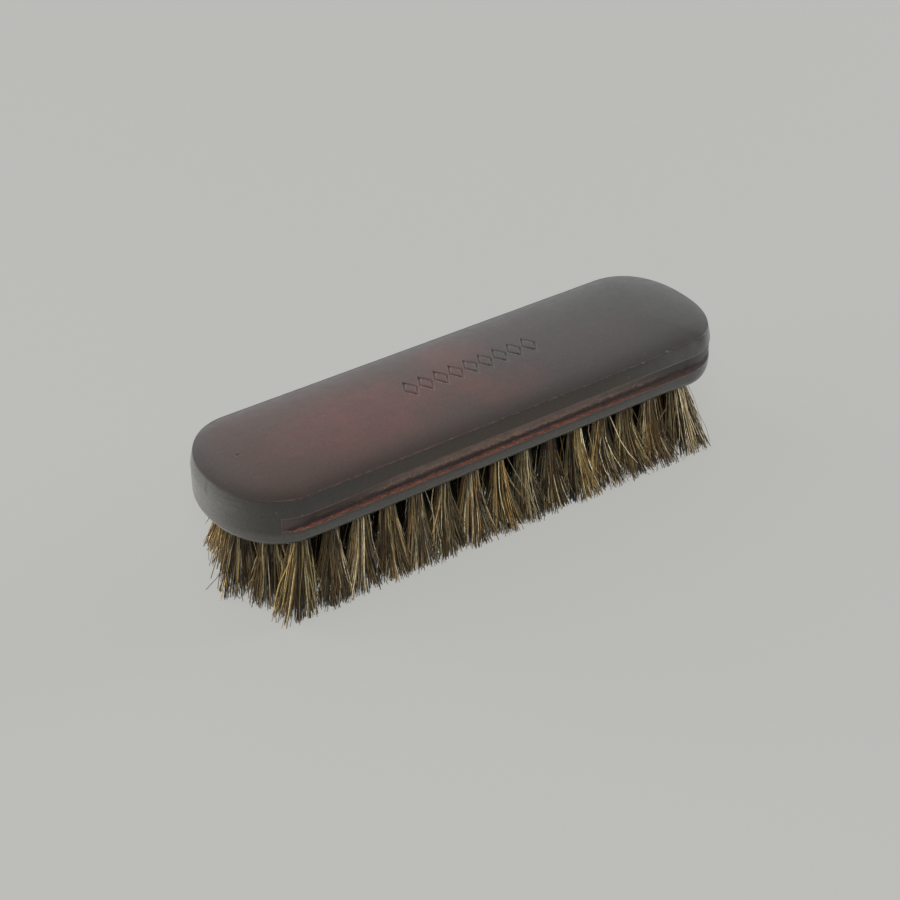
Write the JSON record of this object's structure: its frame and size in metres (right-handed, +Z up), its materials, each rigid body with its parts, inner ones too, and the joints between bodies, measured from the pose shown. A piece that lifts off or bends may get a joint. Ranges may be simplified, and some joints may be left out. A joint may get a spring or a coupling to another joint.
{
  "type": "shoe brush",
  "caption": "Oblong wooden shoe brush block with rounded ends, a finger groove along each side and tufts of horsehair in its underside.",
  "frame": {"origin": "under the middle of the brush, on the surface that the bristle tips stand on", "axes": "+Z up from the bristle tips to the top of the block, +X along the block's length, -Y towards its front long side"},
  "size_m": [0.182, 0.0514, 0.0457],
  "materials": {
    "stained_wood": "satin dark brown stain, worn along its edges",
    "horsehair": "mixed tan, brown, pale and black horsehair"
  },
  "bodies": {
    "root": {"wood_block": "stained_wood", "front_tuft_01": "horsehair", "front_tuft_02": "horsehair", "front_tuft_03": "horsehair", "front_tuft_04": "horsehair", "front_tuft_05": "horsehair", "front_tuft_06": "horsehair", "front_tuft_07": "horsehair", "front_tuft_08": "horsehair", "front_tuft_09": "horsehair", "front_tuft_10": "horsehair", "front_tuft_11": "horsehair", "front_tuft_12": "horsehair", "front_tuft_13": "horsehair", "front_tuft_14": "horsehair", "front_tuft_15": "horsehair", "rear_tuft_01": "horsehair", "rear_tuft_02": "horsehair", "rear_tuft_03": "horsehair", "rear_tuft_04": "horsehair", "rear_tuft_05": "horsehair", "rear_tuft_06": "horsehair", "rear_tuft_07": "horsehair", "rear_tuft_08": "horsehair", "rear_tuft_09": "horsehair", "rear_tuft_10": "horsehair", "rear_tuft_11": "horsehair", "rear_tuft_12": "horsehair", "rear_tuft_13": "horsehair", "rear_tuft_14": "horsehair", "rear_tuft_15": "horsehair", "left_end_tuft_front": "horsehair", "left_end_tuft_middle": "horsehair", "left_end_tuft_rear": "horsehair", "right_end_tuft_front": "horsehair", "right_end_tuft_middle": "horsehair", "right_end_tuft_rear": "horsehair", "front_inner_tufts": "horsehair", "middle_inner_tufts": "horsehair", "rear_inner_tufts": "horsehair"}
  },
  "joints": []
}
